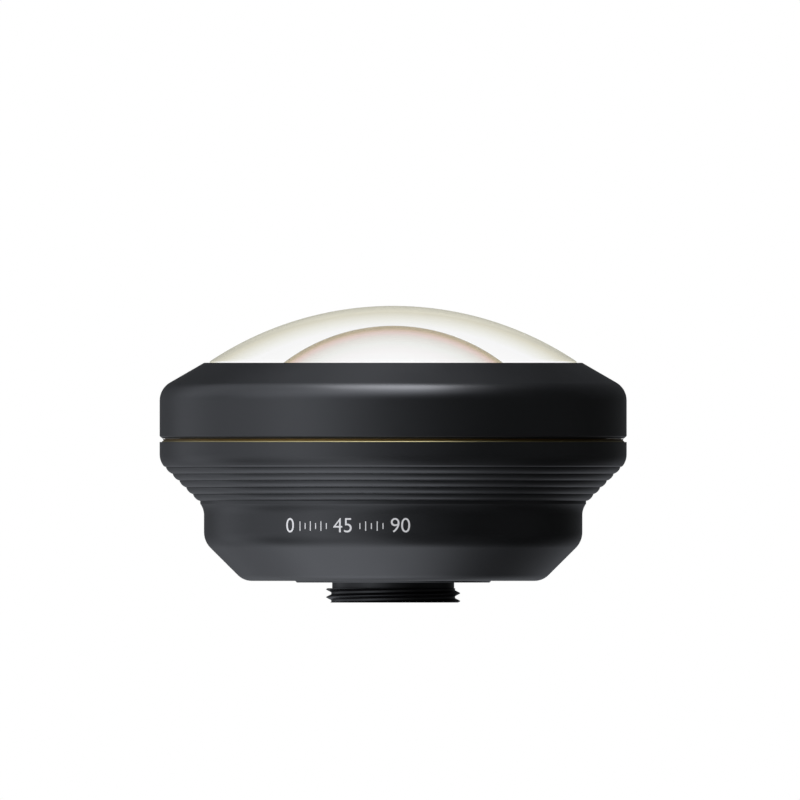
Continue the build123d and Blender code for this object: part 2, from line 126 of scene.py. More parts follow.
# Barrel, in millimetres
NECK_RADIUS = 24.03
BASE_CHAMFER_RUN = 5.04
BASE_CHAMFER_RISE = 5.01
BASE_FILLET = 2.51
NECK_FOOT_FILLET = 2.85
NECK_HEIGHT = 3.34
FLARE_RUN = 0.47
FLARE_RISE = 1.45
FLARE_LIP_RUN = 0.08
FLARE_LIP_RISE = 0.35
RIB_COUNT = 5
RIB_PITCH = 0.86
RIB_FACE_RADIUS = 1.28
CREASE_HALF = 0.026  # half the mouth of the fine crease under each rib
CREASE_DEPTH = 0.07
BEAD_RUN = 0.40
BEAD_RISE = 0.33
BEAD_FACE_RADIUS = 0.57
CONVEX_STEPS = 10
SHOULDER_RUN = 0.38
SHOULDER_RISE = 1.31
SHOULDER_STEPS = 12
WEB_THICKNESS = 1.80
RELIEF_STEP = 3.10
FRONT_SEAT_WIDTH = 3.05
SEAL_PLAY = 0.05
SEAL_GROOVE_WIDTH = 1.20
CELL_LAND_LENGTH = 2.60
CELL_RADIUS = 17.45
NOSE_RADIUS = 8.10

# Gold ring, in millimetres
ACCENT_LIP = 0.11
ACCENT_GROOVE_DEPTH = 0.11
ACCENT_GROOVE_RISE = 0.19
ACCENT_ROUND = 0.02
ACCENT_LIP_HEIGHT = 0.11
ACCENT_LIP_RUN = 0.065  # the lip is bevelled by this much
# Heights above the barrel's top between which painted shade darkens the gold, under the front ring
ACCENT_UNSHADED_HEIGHT = 0.10
ACCENT_SHADED_HEIGHT = 0.24
ACCENT_SEAT_INSET = 0.30  # a step that meets the front ring, so that no light shows between them
ACCENT_SEAT_PLAY = 0.004

# Scale on the neck: angles in degrees round the barrel from the front, and millimetres
SCALE_START = -33.0
SCALE_STEP = 1.76
SCALE_STEPS = 20
SCALE_NUMBER_STEPS = 10
SCALE_NUMBER_UNIT = 45
SCALE_MIDDLE_Z = 9.72
SCALE_CLEAR = 0.45
SCALE_TICK_WIDTH = 0.12
SCALE_LONG_TICK = 1.20
SCALE_SHORT_TICK = 0.75
TICK_ROWS = 6
PRINT_THICKNESS = 0.012
PRINT_GRID = 0.25
FONT_CAP_SHARE = 0.70
NUMBER_WEIGHT = -0.012
NUMBER_CURVE_STEPS = 6

# Front ring, in millimetres
RING_WALL = 2.00
RING_FOOT_RUN = 0.36
RING_FOOT_RISE = 0.32
CONE_ANGLE = radians(30)
CONE_FILLET = 2.64
RIM_RADIUS = 24.01
LIP_RADIUS = 23.54
LIP_THICKNESS = 1.00

# Glass, in millimetres
DOME_RADIUS = 23.30
DOME_FACE_RADIUS = 42.00
DOME_THICKNESS = 2.53
DOME_BACK_FACE_RADIUS = 23.03
GLASS_DEPTH = 1.40  # from the outer cone of the ring down to the shoulder of the glass
SECOND_FACE_RADIUS = 19.0
SECOND_BACK_FACE_RADIUS = 11.0
SECOND_THICKNESS = 2.20
SECOND_EDGE = 2.00
REAR_FACE_RADIUS = 14.0
REAR_BACK_FACE_RADIUS = 20.0

# Light trap, in millimetres
TRAP_STEPS = 6
TRAP_WALL = 1.10
TRAP_THROAT_GAP = 0.50
TRAP_FOOT_HEIGHT = 1.60

# Front thread, which shows when the ring is unscrewed, in millimetres
FRONT_THREAD_PITCH = 0.75
FRONT_THREAD_DEPTH = 0.42
FRONT_THREAD_START = 0.55
THREAD_FIT = 0.10
SPIGOT_WALL = 1.00
SPIGOT_CHAMFER = 0.25

# Shared surface effects: noise sizes per metre, detail, and where each mask starts and ends
WHITE = (1.0, 1.0, 1.0)
GRAIN_FINENESS = 9000.0
GRAIN_DETAIL = 2.0
MOTTLE_SCALE = 140.0
MOTTLE_DETAIL = 5.0
LATHE_FINENESS = 6000.0
LATHE_DETAIL = 3.0
WEAR_FINENESS = 900.0
WEAR_DETAIL = 4.0
WEAR_RIDGE = (0.52, 0.62)
WEAR_PATCHES = (0.42, 0.66)
SMUDGE_SCALE = 60.0
SMUDGE_DETAIL = 6.0
SMUDGE_DISTORTION = 0.6
SMUDGE_PATCHES = (0.48, 0.70)

# Marks of a surface: the shared effect, its outputs for tone and relief, its fineness and depth, and how far it
# changes the tone, as a share, and the roughness
BLASTED = ("grain", "Mottle", "Height", GRAIN_FINENESS, 0.004 * MM, 0.12, 0.04)
GROUND = ("grain", "Mottle", "Height", 16000.0, 0.002 * MM, 0.12, 0.04)
TURNED = ("lathe marks", "Marks", "Marks", LATHE_FINENESS, 0.003 * MM, 0.10, 0.06)

# Metals: wear, shine and roughness, and the painted shade of the gold
EDGE_WEAR = 0.3
WORN_LIGHTER = 3.0
SMUDGE_SHINE = 0.03
ANODISED_ROUGHNESS = 0.36
PRINT_ROUGHNESS = 0.5
GOLD_ROUGHNESS = 0.36
# Dark colour of the painted shade on the upper gold, under the front ring
GOLD_PAINTED_SHADE = (0.19, 0.12, 0.043)
MOUNT_SPECULAR = 0.38

# Glass: tints at a slant, as (facing, colour), which paint shade and coating reflections at the edges of the glass,
# and colours of the coatings' glints
DOME_COAT = 0.25
COAT_ROUGHNESS = 0.02
DOME_REFRACTION = 1.0  # bends nothing
INSIDE_REFRACTION = 1.5
OUTER_EDGE_SHADE_STOPS = [(0.655, WHITE), (0.70, (0.95, 0.95, 0.90)), (0.80, (0.815, 0.785, 0.655)), (0.93, (0.655, 0.64, 0.54))]
INNER_EDGE_SHADE_STOPS = [(0.41, WHITE), (0.50, (0.96, 0.945, 0.94)), (0.58, (0.895, 0.90, 0.87)), (0.66, (0.82, 0.785, 0.74)),
               (0.73, (0.80, 0.65, 0.60)), (0.78, (0.71, 0.55, 0.44)), (0.83, (0.53, 0.43, 0.27)),
               (0.93, (0.43, 0.37, 0.235))]
INSIDE_STOPS = [(0.0, (0.96, 0.98, 1.0)), (1.0, (0.80, 0.85, 0.95))]
GLINTS = {"green": (0.16, 0.50, 0.30), "amber": (0.55, 0.34, 0.16), "violet": (0.36, 0.20, 0.60)}

GROUPS = {}
MATERIALS = {}


class LensSizes(bpy.types.PropertyGroup):
    """Sizes of the finish that the frame leaves open."""

    edge_round: bpy.props.FloatProperty(
        name="Edge rounding", description="Radius of the broken edges of the metal",
        default=0.09 * MM, min=0, unit="LENGTH")
    thread_pitch: bpy.props.FloatProperty(
        name="Thread pitch", description="Rise of the mounting thread in one turn",
        default=1.0 * MM, min=0.2 * MM, unit="LENGTH")
    thread_depth: bpy.props.FloatProperty(
        name="Thread depth", description="From the crest of the mounting thread to its root",
        default=0.63 * MM, min=0, unit="LENGTH")
    marking_height: bpy.props.FloatProperty(
        name="Marking height", description="Height of the figures on the neck",
        default=1.86 * MM, min=0, unit="LENGTH")


class LensColours(bpy.types.PropertyGroup):
    """Colours of the finish."""

    anodised: bpy.props.FloatVectorProperty(
        name="Anodised metal", description="Barrel and front ring", subtype="COLOR",
        default=(0.0043, 0.0046, 0.0050), min=0, max=1)
    gold: bpy.props.FloatVectorProperty(
        name="Gold ring", description="Thin ring under the front ring", subtype="COLOR",
        default=(0.36, 0.315, 0.155), min=0, max=1)
    marking: bpy.props.FloatVectorProperty(
        name="Marking", description="Figures and scale on the neck", subtype="COLOR",
        default=(0.90, 0.90, 0.90), min=0, max=1)


def sizes():
    return bpy.context.scene.lens_sizes


# Sections: runs of (radius, height) in millimetres

def face_points(pole_z, face_radius, land_radius):
    """A polished face from its pole to its land, in equal angles. A positive face radius bulges forward."""
    whole = asin(land_radius / abs(face_radius))
    points = []
    for step in range(FACE_STEPS + 1):
        r = abs(face_radius) * sin(whole * step / FACE_STEPS)
        points.append((r, pole_z - face_radius + copysign(sqrt(face_radius**2 - r**2), face_radius)))
    return points


def moved(point, run, rise):
    return point[0] + run, point[1] + rise


def tangent_arc(start, end, steps):
    """An arc from start to end that leaves start straight up or down."""
    run, rise = end[0] - start[0], end[1] - start[1]
    radius = (run**2 + rise**2) / (2 * run)
    whole = 2 * atan2(run, abs(rise))
    points = []
    for step in range(1, steps):
        angle = whole * step / steps
        points.append((start[0] + radius * (1 - cos(angle)), start[1] + copysign(radius * sin(angle), rise)))
    return points


def convex_points(start, end, face_radius):
    """Points of an arc that bulges outwards and down from its chord, which climbs outwards. The end is left out."""
    run, rise = end[0] - start[0], end[1] - start[1]
    chord = sqrt(run**2 + rise**2)
    whole = asin(chord / 2 / face_radius)
    points = [(*start, 0)]
    for step in range(1, CONVEX_STEPS):
        angle = whole * (2 * step / CONVEX_STEPS - 1)
        along = (chord / 2 + face_radius * sin(angle)) / chord
        out = face_radius * (cos(angle) - cos(whole)) / chord
        points.append((start[0] + along * run + out * rise, start[1] + along * rise - out * run))
    return points


def soften(points, rounding, closed):
    """Rounds each sharp corner of a section. A third number in a point is its own rounding."""
    soft = []
    last = len(points) - 1
    for place, point in enumerate(points):
        here = Vector(point[:2])
        radius = point[2] if len(point) > 2 else rounding
        arriving = here - Vector(points[place - 1][:2])
        leaving = Vector(points[place + 1 if place < last else 0][:2]) - here
        turn = arriving.angle(leaving, 0)
        end = not closed and place in (0, last)
        if end or turn < SHARP_TURN or radius == 0:
            soft.append(here)
            continue
        reach = min(radius * tan(turn / 2), REACH_SHARE * arriving.length, REACH_SHARE * leaving.length)
        radius = reach / tan(turn / 2)
        side = copysign(1, arriving.x * leaving.y - arriving.y * leaving.x)
        start = here - arriving.normalized() * reach
        centre = start + side * radius * Vector((-arriving.y, arriving.x)).normalized()
        coarser = 1 if radius > SMALL_ROUND else SMALL_ROUND_COARSER
        steps = max(MIN_ARC_STEPS, round(turn / ARC_STEP / coarser))
        for step in range(steps + 1):
            swing = Matrix.Rotation(side * turn * step / steps, 2)
            soft.append(centre + swing @ (start - centre))
    return soft


# Shaping

def make_active(piece):
    bpy.ops.object.select_all(action="DESELECT")
    piece.select_set(True)
    bpy.context.view_layer.objects.active = piece


def new_shape(add, **values):
    """A new primitive, at the origin unless placed, with nothing else selected."""
    bpy.ops.object.select_all(action="DESELECT")
    add(**{"location": (0, 0, 0), **values})
    return bpy.context.object


@contextmanager
def editing(piece):
    """Edit mode on one piece, with its whole mesh selected."""
    make_active(piece)
    bpy.ops.object.mode_set(mode="EDIT")
    bpy.ops.mesh.select_all(action="SELECT")
    yield
    bpy.ops.object.mode_set(mode="OBJECT")


def draw_section(name, points):
    """Draws a section as one run of edges, extruded point by point from a plane merged to a vertex."""
    piece = new_shape(bpy.ops.mesh.primitive_plane_add, size=MM)
    piece.name = piece.data.name = name
    with editing(piece):
        bpy.ops.mesh.merge(type="CENTER")
        bpy.ops.transform.translate(value=(points[0][0] * MM, 0, points[0][1] * MM))
        for before, after in zip(points, points[1:]):
            step = ((after[0] - before[0]) * MM, 0, (after[1] - before[1]) * MM)
            bpy.ops.mesh.extrude_vertices_move(TRANSFORM_OT_translate={"value": step})
    return piece


def modify(piece, kind, **settings):
    """Adds a modifier and applies it."""
    modifier = piece.modifiers.new(kind, kind)
    for setting, value in settings.items():
        setattr(modifier, setting, value)
    make_active(piece)
    bpy.ops.object.modifier_apply(modifier=kind)


def weld(piece):
    """Merges doubles and points every face outwards."""
    with editing(piece):
        bpy.ops.mesh.remove_doubles(threshold=WELD)
        bpy.ops.mesh.normals_make_consistent(inside=False)


def turn_about_axis(piece, steps, pitch=0.0, turns=1):
    """Turns a section about Z with the Screw modifier, and along a helix where it has a pitch."""
    modify(piece, "SCREW", axis="Z", angle=2 * pi, steps=steps, render_steps=steps,
           screw_offset=pitch, iterations=turns)
    weld(piece)


def turned(name, points, steps=TURN_STEPS, closed=True, rounding=None):
    """A turned piece from its section."""
    if rounding is None:
        rounding = sizes().edge_round / MM
    section = soften(points, rounding, closed and points[0] != points[-1])
    if closed and points[0][0] > 0:
        section.append(section[0])
    piece = draw_section(name, section)
    turn_about_axis(piece, steps)
    return piece


def join(pieces):
    """Joins pieces into the first of them."""
    make_active(pieces[0])
    for piece in pieces:
        piece.select_set(True)
    bpy.ops.object.join()
    return pieces[0]


def select_rims(piece, height):
    """Selects the open rims that lie at one height."""
    bpy.ops.mesh.select_all(action="DESELECT")
    mesh = bmesh.from_edit_mesh(piece.data)
    for edge in mesh.edges:
        level = all(abs(v.co.z - height * MM) < ON_PLANE for v in edge.verts)
        if edge.is_boundary and level:
            edge.select_set(True)
    bmesh.update_edit_mesh(piece.data)


def add_thread(piece, crest, root, pitch, low, high, crest_z):
    """Bridges the two open rims of a turned piece with a right-hand V thread."""
    first = crest_z - pitch / 2
    while first > low - pitch:
        first -= pitch
    turns = int((high - first) / pitch) + 2
    root_flat, crest_flat = pitch * ROOT_FLAT_SHARE, pitch * CREST_FLAT_SHARE
    helix = draw_section("helix", [
        (root, first), (root, first + root_flat),
        (crest, first + pitch / 2 - crest_flat), (crest, first + pitch / 2 + crest_flat),
        (root, first + pitch - root_flat), (root, first + pitch)])
    turn_about_axis(helix, TURN_STEPS, pitch * MM, turns)
    with editing(helix):
        for height, below in ((low, True), (high, False)):
            bpy.ops.mesh.select_all(action="SELECT")
            bpy.ops.mesh.bisect(plane_co=(0, 0, height * MM), plane_no=(0, 0, 1), clear_inner=below,
                                clear_outer=not below, threshold=WELD)
    join([piece, helix])
    with editing(piece):
        for height in (low, high):
            select_rims(piece, height)
            bpy.ops.mesh.bridge_edge_loops()
    weld(piece)


def cut(piece, cutter):
    """Cuts one piece with another, which is then deleted."""
    modify(piece, "BOOLEAN", operation="DIFFERENCE", solver="EXACT", object=cutter)
    bpy.data.objects.remove(cutter)


def give_finishes(piece, *finishes):
    piece.data.materials.clear()
    for finish in finishes:
        piece.data.materials.append(MATERIALS[finish])


def finish_piece(piece, body, slot, nodes, *finishes):
    """Shades a new piece smooth but for its edges, gives it its finishes and sets it in place of its nodes."""
    make_active(piece)
    bpy.ops.object.shade_smooth_by_angle(angle=SMOOTH_ANGLE)
    modify(piece, "WEIGHTED_NORMAL", keep_sharp=True)
    give_finishes(piece, *finishes)
    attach(piece, body)
    if nodes:
        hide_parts(*nodes)


# Nodes

def feed(tree, node, values):
    """Fills a node's inputs. A value is a number or a colour, or the output that it comes from."""
    for name, value in values.items():
        if isinstance(value, bpy.types.NodeSocket):
            tree.links.new(value, node.inputs[name])
        else:
            node.inputs[name].default_value = value


def add_node(tree, kind, values={}, **settings):
    """A shader node with its settings and inputs."""
    node = tree.nodes.new("ShaderNode" + kind)
    for name, setting in settings.items():
        setattr(node, name, setting)
    feed(tree, node, values)
    return node


def maths(tree, operation, *values, **settings):
    """The result of a Math node."""
    return add_node(tree, "Math", dict(enumerate(values)), operation=operation, **settings).outputs["Value"]


def vector_maths(tree, operation, *values):
    """The results of a Vector Math node."""
    return add_node(tree, "VectorMath", dict(enumerate(values)), operation=operation).outputs


def map_range(tree, value, source=(0, 1), target=(0, 1), **settings):
    """Maps a value from one range onto another."""
    values = dict(enumerate((value, *source, *target)))
    return add_node(tree, "MapRange", values, **settings).outputs["Result"]


def mix_colours(tree, mask, first, second):
    """A colour that goes over from one to another where a mask says so."""
    return add_node(tree, "Mix", {"Factor": mask, "A": first, "B": second}, data_type="RGBA").outputs["Result"]


def object_place(tree):
    return add_node(tree, "TexCoord").outputs["Object"]


def noise(tree, scale, detail, **values):
    """Noise on the piece's own coordinates."""
    values.update(Vector=object_place(tree), Scale=scale, Detail=detail)
    return add_node(tree, "TexNoise", values).outputs["Fac"]


# Shared surface effects, as node groups

def new_group(name, inputs, outputs):
    """An empty node group with named number inputs and outputs, kept under its name."""
    group = GROUPS[name] = bpy.data.node_groups.new(name, "ShaderNodeTree")
    for socket, default in inputs.items():
        group.interface.new_socket(socket, in_out="INPUT", socket_type="NodeSocketFloat").default_value = default
    for socket in outputs:
        group.interface.new_socket(socket, in_out="OUTPUT", socket_type="NodeSocketFloat")
    return group, group.nodes.new("NodeGroupInput").outputs, group.nodes.new("NodeGroupOutput")


def grain_group():
    """Bead-blasted grain: a fine height, and a broad mottle of the finish."""
    group, given, end = new_group("grain", {"Fineness": GRAIN_FINENESS}, ["Height", "Mottle"])
    feed(group, end, {"Height": noise(group, given["Fineness"], GRAIN_DETAIL),
                      "Mottle": noise(group, MOTTLE_SCALE, MOTTLE_DETAIL)})


def lathe_group():
    """Turning marks: fine rings that follow radius plus height."""
    group, given, end = new_group("lathe marks", {"Fineness": LATHE_FINENESS}, ["Marks"])
    x, y, z = add_node(group, "SeparateXYZ", {"Vector": object_place(group)}).outputs
    flat = add_node(group, "CombineXYZ", {"X": x, "Y": y}).outputs["Vector"]
    way = maths(group, "ADD", vector_maths(group, "LENGTH", flat)["Value"], z)
    rings = {"W": maths(group, "MULTIPLY", way, given["Fineness"]), "Scale": 1.0, "Detail": LATHE_DETAIL}
    feed(group, end, {"Marks": add_node(group, "TexNoise", rings, noise_dimensions="1D").outputs["Fac"]})


def wear_group():
    """Edge wear: a broken mask along outer edges, where handling rubs the finish."""
    group, given, end = new_group("edge wear", {"Amount": 1.0, "Fineness": WEAR_FINENESS}, ["Mask"])
    ridge = map_range(group, add_node(group, "NewGeometry").outputs["Pointiness"], WEAR_RIDGE)
    patches = map_range(group, noise(group, given["Fineness"], WEAR_DETAIL), WEAR_PATCHES)
    mask = maths(group, "MULTIPLY", maths(group, "MULTIPLY", ridge, patches), given["Amount"])
    feed(group, end, {"Mask": mask})


def smudge_group():
    """Faint smudges of handling: a soft cloud with bare places in between."""
    group, given, end = new_group("smudges", {"Size": SMUDGE_SCALE}, ["Mask"])
    cloud = noise(group, given["Size"], SMUDGE_DETAIL, Distortion=SMUDGE_DISTORTION)
    feed(group, end, {"Mask": map_range(group, cloud, SMUDGE_PATCHES, interpolation_type="SMOOTHSTEP")})


def use_group(tree, name, **values):
    """The outputs of a shared effect."""
    node = tree.nodes.new("ShaderNodeGroup")
    node.node_tree = GROUPS[name]
    feed(tree, node, values)
    return node.outputs


# Materials

def new_material(name):
    """A material with its nodes and its Principled shader."""
    material = bpy.data.materials.new(name)
    material.use_nodes = True
    return material, material.node_tree, material.node_tree.nodes["Principled BSDF"]


def scaled(colour, factor):
    return (*(min(1, part * factor) for part in colour), 1)


def marked_surface(name, colour, roughness, kind, metallic=0.0, wear=EDGE_WEAR, specular=0.5):
    """A surface whose tone, roughness and relief follow shared marks, with rubbed edges and faint smudges."""
    group, tone, relief, fineness, depth, share, swing = kind
    material, tree, shader = new_material(name)
    marks = use_group(tree, group, Fineness=fineness)
    surface = mix_colours(tree, marks[tone], scaled(colour, 1 - share), scaled(colour, 1 + share))
    worn = use_group(tree, "edge wear", Amount=wear)["Mask"]
    matt = map_range(tree, marks[tone], target=(roughness - swing, roughness + swing))
    bump = add_node(tree, "Bump", {"Height": marks[relief], "Distance": depth, "Strength": 1.0})
    feed(tree, shader, {
        "Base Color": mix_colours(tree, worn, surface, scaled(colour, WORN_LIGHTER)),
        "Roughness": maths(tree, "MULTIPLY_ADD", use_group(tree, "smudges")["Mask"], -SMUDGE_SHINE, matt),
        "Metallic": metallic, "Specular IOR Level": specular, "Normal": bump.outputs["Normal"]})
    return material


def gold_metal(name, colour):
    """Turned gold that is paler on the lip and deeper in the groove and above it, in painted shade under the front
    ring.
    """
    material = marked_surface(name, colour, GOLD_ROUGHNESS, TURNED, metallic=1.0, wear=0.0)
    tree, shader = material.node_tree, material.node_tree.nodes["Principled BSDF"]
    height = add_node(tree, "SeparateXYZ", {"Vector": object_place(tree)}).outputs["Z"]
    # Painted shade: the gold goes over to a dark colour with height, under the front ring
    depth = map_range(tree, height, [(BARREL_TOP_Z + z) * MM for z in (ACCENT_UNSHADED_HEIGHT, ACCENT_SHADED_HEIGHT)])
    unshaded_gold = shader.inputs["Base Color"].links[0].from_socket
    feed(tree, shader, {"Base Color": mix_colours(tree, depth, unshaded_gold, (*GOLD_PAINTED_SHADE, 1))})
    return material


def coated_glass(name, stops, refraction, coat, glint=WHITE):
    """Clear glass tinted at a slant, in painted shade and painted coating reflections at its edges, and whose coating
    tints its glints. Stops are (facing, colour).
    """
    material, tree, shader = new_material(name)
    # Painted edge shade and coating reflections: the colour darkens and tints with facing
    facing = add_node(tree, "LayerWeight", {"Blend": 0.5}).outputs["Facing"]
    ramp = add_node(tree, "ValToRGB", {"Fac": facing})
    elements = ramp.color_ramp.elements
    elements.remove(elements[-1])
    elements[0].position, elements[0].color = stops[0][0], (*stops[0][1], 1)
    for position, colour in stops[1:]:
        elements.new(position).color = (*colour, 1)
    feed(tree, shader, {
        "Base Color": ramp.outputs["Color"], "Roughness": 0.0, "IOR": refraction, "Transmission Weight": 1.0,
        "Coat Weight": coat, "Coat Roughness": COAT_ROUGHNESS, "Specular Tint": (*glint, 1)})
    return material


# Finishes: name, colour, roughness and marks, and where they differ, how metallic, worn and shiny it is
FINISHES = {
    "mount": ("mount_black", (0.004, 0.004, 0.0045), 0.34, TURNED, 0.0, EDGE_WEAR, MOUNT_SPECULAR),
    "matt": ("matt_black_metal", (0.006, 0.006, 0.0065), 0.62, TURNED),
    "shim": ("shim_brass", (0.68, 0.52, 0.25), 0.35, TURNED, 1.0),
    "screw": ("screw_steel", (0.06, 0.06, 0.065), 0.34, TURNED, 1.0),
    "rubber": ("seal_rubber", (0.018, 0.018, 0.018), 0.75, BLASTED),
    "washer": ("washer_plastic", (0.025, 0.025, 0.025), 0.45, BLASTED),
    "ground": ("ground_edge", (0.008, 0.008, 0.0085), 0.68, GROUND),
}


class LENS_OT_finishes(bpy.types.Operator):
    """Materials: anodised and turned metal, gold, coated glass, rubber, plastic and print"""

    bl_idname = "lens.finishes"
    bl_label = "Finishes"

    def execute(self, context):
        for build in (grain_group, lathe_group, wear_group, smudge_group):
            build()
        for finish, values in FINISHES.items():
            MATERIALS[finish] = marked_surface(*values)
        for glint, colour in GLINTS.items():
            MATERIALS[glint] = coated_glass(glint + "_coated_glass", INSIDE_STOPS, INSIDE_REFRACTION, 0.0, colour)
        shown = context.scene.lens_colours
        MATERIALS.update(
            anodised=marked_surface("anodised_black", tuple(shown.anodised), ANODISED_ROUGHNESS, BLASTED),
            print=marked_surface("printed_marking", tuple(shown.marking), PRINT_ROUGHNESS, BLASTED),
            gold=gold_metal("gold_brass", tuple(shown.gold)),
            dome=coated_glass("front_glass", OUTER_EDGE_SHADE_STOPS, DOME_REFRACTION, DOME_COAT),
            dome_back=coated_glass("front_glass_back", INNER_EDGE_SHADE_STOPS, DOME_REFRACTION, DOME_COAT))
        return {"FINISHED"}


class LENS_OT_barrel(bpy.types.Operator):
    """Barrel: base, neck, ribbed flare, shoulder and threaded spigot"""

    bl_idname = "lens.barrel"
    bl_label = "Barrel"

    def execute(self, context):
        neck_foot_z = BASE_Z + BASE_CHAMFER_RISE
        neck_top_z = neck_foot_z + NECK_HEIGHT
        flare = moved((NECK_RADIUS, neck_top_z), FLARE_RUN, FLARE_RISE)
        grip = moved(flare, FLARE_LIP_RUN, FLARE_LIP_RISE)
        bead_foot = moved(grip, RIB_COUNT * RIB_PITCH, RIB_COUNT * RIB_PITCH)
        bead = moved(bead_foot, BEAD_RUN, BEAD_RISE)
        shoulder = moved(bead, SHOULDER_RUN, SHOULDER_RISE)
        ribs = []
        for rib in range(RIB_COUNT):
            foot = moved(grip, rib * RIB_PITCH, rib * RIB_PITCH)
            head = moved(foot, RIB_PITCH - CREASE_HALF, RIB_PITCH - CREASE_HALF)
            ribs.append((*moved(foot, -CREASE_DEPTH, CREASE_DEPTH), 0))
            ribs += convex_points(moved(foot, CREASE_HALF, CREASE_HALF), head, RIB_FACE_RADIUS)
            ribs.append((*head, 0))
        ribs.append((*moved(bead_foot, -CREASE_DEPTH, CREASE_DEPTH), 0))
        ribs += convex_points(moved(bead_foot, CREASE_HALF, CREASE_HALF), bead, BEAD_FACE_RADIUS)
        spigot = RING_RADIUS - RING_WALL - THREAD_FIT
        bore = spigot - SPIGOT_WALL
        seat = bore - FRONT_SEAT_WIDTH
        web_z = CELL_BOTTOM_Z + WEB_THICKNESS
        cell_bore = CELL_RADIUS + LOCATION_FIT
        relief = cell_bore + RELIEF_STEP
        cell_land_z = SHIM_LOW_Z - CELL_LAND_LENGTH
        flange_bore = CELL_FLANGE_RADIUS + LOCATION_FIT
        nose_hole = NOSE_RADIUS + LOCATION_FIT
        groove = SEAL_RADIUS + SEAL_PLAY
        groove_inner = groove - SEAL_GROOVE_WIDTH
        pocket = FLANGE_RADIUS + LOCATION_FIT
        thread_low_z = BARREL_TOP_Z + FRONT_THREAD_START
        thread_high_z = SPIGOT_TOP_Z - SPIGOT_CHAMFER
        root = spigot - FRONT_THREAD_DEPTH
        points = [
            (root, thread_high_z), (root, SPIGOT_TOP_Z), (bore, SPIGOT_TOP_Z), (bore, FRONT_SEAT_Z),
            (groove, FRONT_SEAT_Z), (groove, SEAL_LOW_Z), (groove_inner, SEAL_LOW_Z),
            (groove_inner, FRONT_SEAT_Z), (seat, FRONT_SEAT_Z), (seat, TRAP_LOW_Z), (flange_bore, TRAP_LOW_Z),
            (flange_bore, SHIM_LOW_Z), (cell_bore, SHIM_LOW_Z), (cell_bore, cell_land_z),
            (relief, cell_land_z - RELIEF_STEP), (relief, web_z + RELIEF_STEP), (cell_bore, web_z),
            (nose_hole, web_z), (nose_hole, CELL_BOTTOM_Z), (pocket, CELL_BOTTOM_Z), (pocket, BASE_Z),
            (NECK_RADIUS - BASE_CHAMFER_RUN, BASE_Z, BASE_FILLET), (NECK_RADIUS, neck_foot_z, NECK_FOOT_FILLET),
            (NECK_RADIUS, neck_top_z, 0), *tangent_arc((NECK_RADIUS, neck_top_z), flare, SHOULDER_STEPS),
            flare, *ribs, (*bead, 0), *tangent_arc(shoulder, bead, SHOULDER_STEPS)[::-1], (*shoulder, 0),
            (RING_RADIUS, BARREL_TOP_Z, ACCENT_ROUND), (root, BARREL_TOP_Z), (root, thread_low_z),
        ]
        piece = turned("barrel_shell", points, closed=False)
        add_thread(piece, spigot, root, FRONT_THREAD_PITCH, thread_low_z, thread_high_z, BARREL_TOP_Z)
        finish_piece(piece, "barrel", "anodised_black", ["barrel"], "anodised")
        return {"FINISHED"}


def cone_z(r, depth):
    """Height of the cone that lies the given depth inside the outer cone of the front ring."""
    return RIM_Z + (RIM_RADIUS - r) * tan(CONE_ANGLE) - depth / cos(CONE_ANGLE)


class LENS_OT_front_ring(bpy.types.Operator):
    """Front ring: plain side, rounded shoulder and conical lip"""

    bl_idname = "lens.front_ring"
    bl_label = "Front ring"

    def execute(self, context):
        bore = RING_RADIUS - RING_WALL
        points = [
            (bore, RING_LOW_Z), (RING_RADIUS - RING_FOOT_RUN, RING_LOW_Z),
            (RING_RADIUS, RING_LOW_Z + RING_FOOT_RISE), (RING_RADIUS, cone_z(RING_RADIUS, 0), CONE_FILLET),
            (RIM_RADIUS, RIM_Z), (LIP_RADIUS, RIM_Z), (LIP_RADIUS, cone_z(LIP_RADIUS, LIP_THICKNESS)),
            (bore, cone_z(bore, LIP_THICKNESS)),
        ]
        piece = turned("front_ring_shell", points)
        finish_piece(piece, "front_ring", "anodised_black", ["front_ring"], "anodised")
        return {"FINISHED"}


class LENS_OT_accent_ring(bpy.types.Operator):
    """Thin gold ring on the shoulder of the barrel"""

    bl_idname = "lens.accent_ring"
    bl_label = "Gold ring"

    def execute(self, context):
        bore = RING_RADIUS - RING_WALL
        edge = ACCENT_RADIUS - ACCENT_LIP
        groove = edge - ACCENT_GROOVE_DEPTH
        seat_z = RING_LOW_Z - ACCENT_SEAT_PLAY
        points = [
            (bore, BARREL_TOP_Z), (ACCENT_RADIUS, BARREL_TOP_Z),
            (ACCENT_RADIUS - ACCENT_LIP_RUN, BARREL_TOP_Z + ACCENT_LIP_HEIGHT),
            (groove, BARREL_TOP_Z + ACCENT_GROOVE_RISE), (edge, ACCENT_TOP_Z),
            (edge - ACCENT_SEAT_INSET, ACCENT_TOP_Z), (edge - ACCENT_SEAT_INSET, seat_z), (bore, seat_z),
        ]
        piece = turned("accent_band", points, rounding=ACCENT_ROUND)
        finish_piece(piece, "barrel", "gold_brass", ["accent_ring"], "gold")
        return {"FINISHED"}


def lens_points(pole_z, face_radius, land_radius, edge, back_pole_z, back_face_radius, back_land_radius):
    """Section of a glass: front face, edge corners, back face. It starts and ends on the axis."""
    front = face_points(pole_z, face_radius, land_radius)
    back = face_points(back_pole_z, back_face_radius, back_land_radius)
    return front + edge + back[::-1]


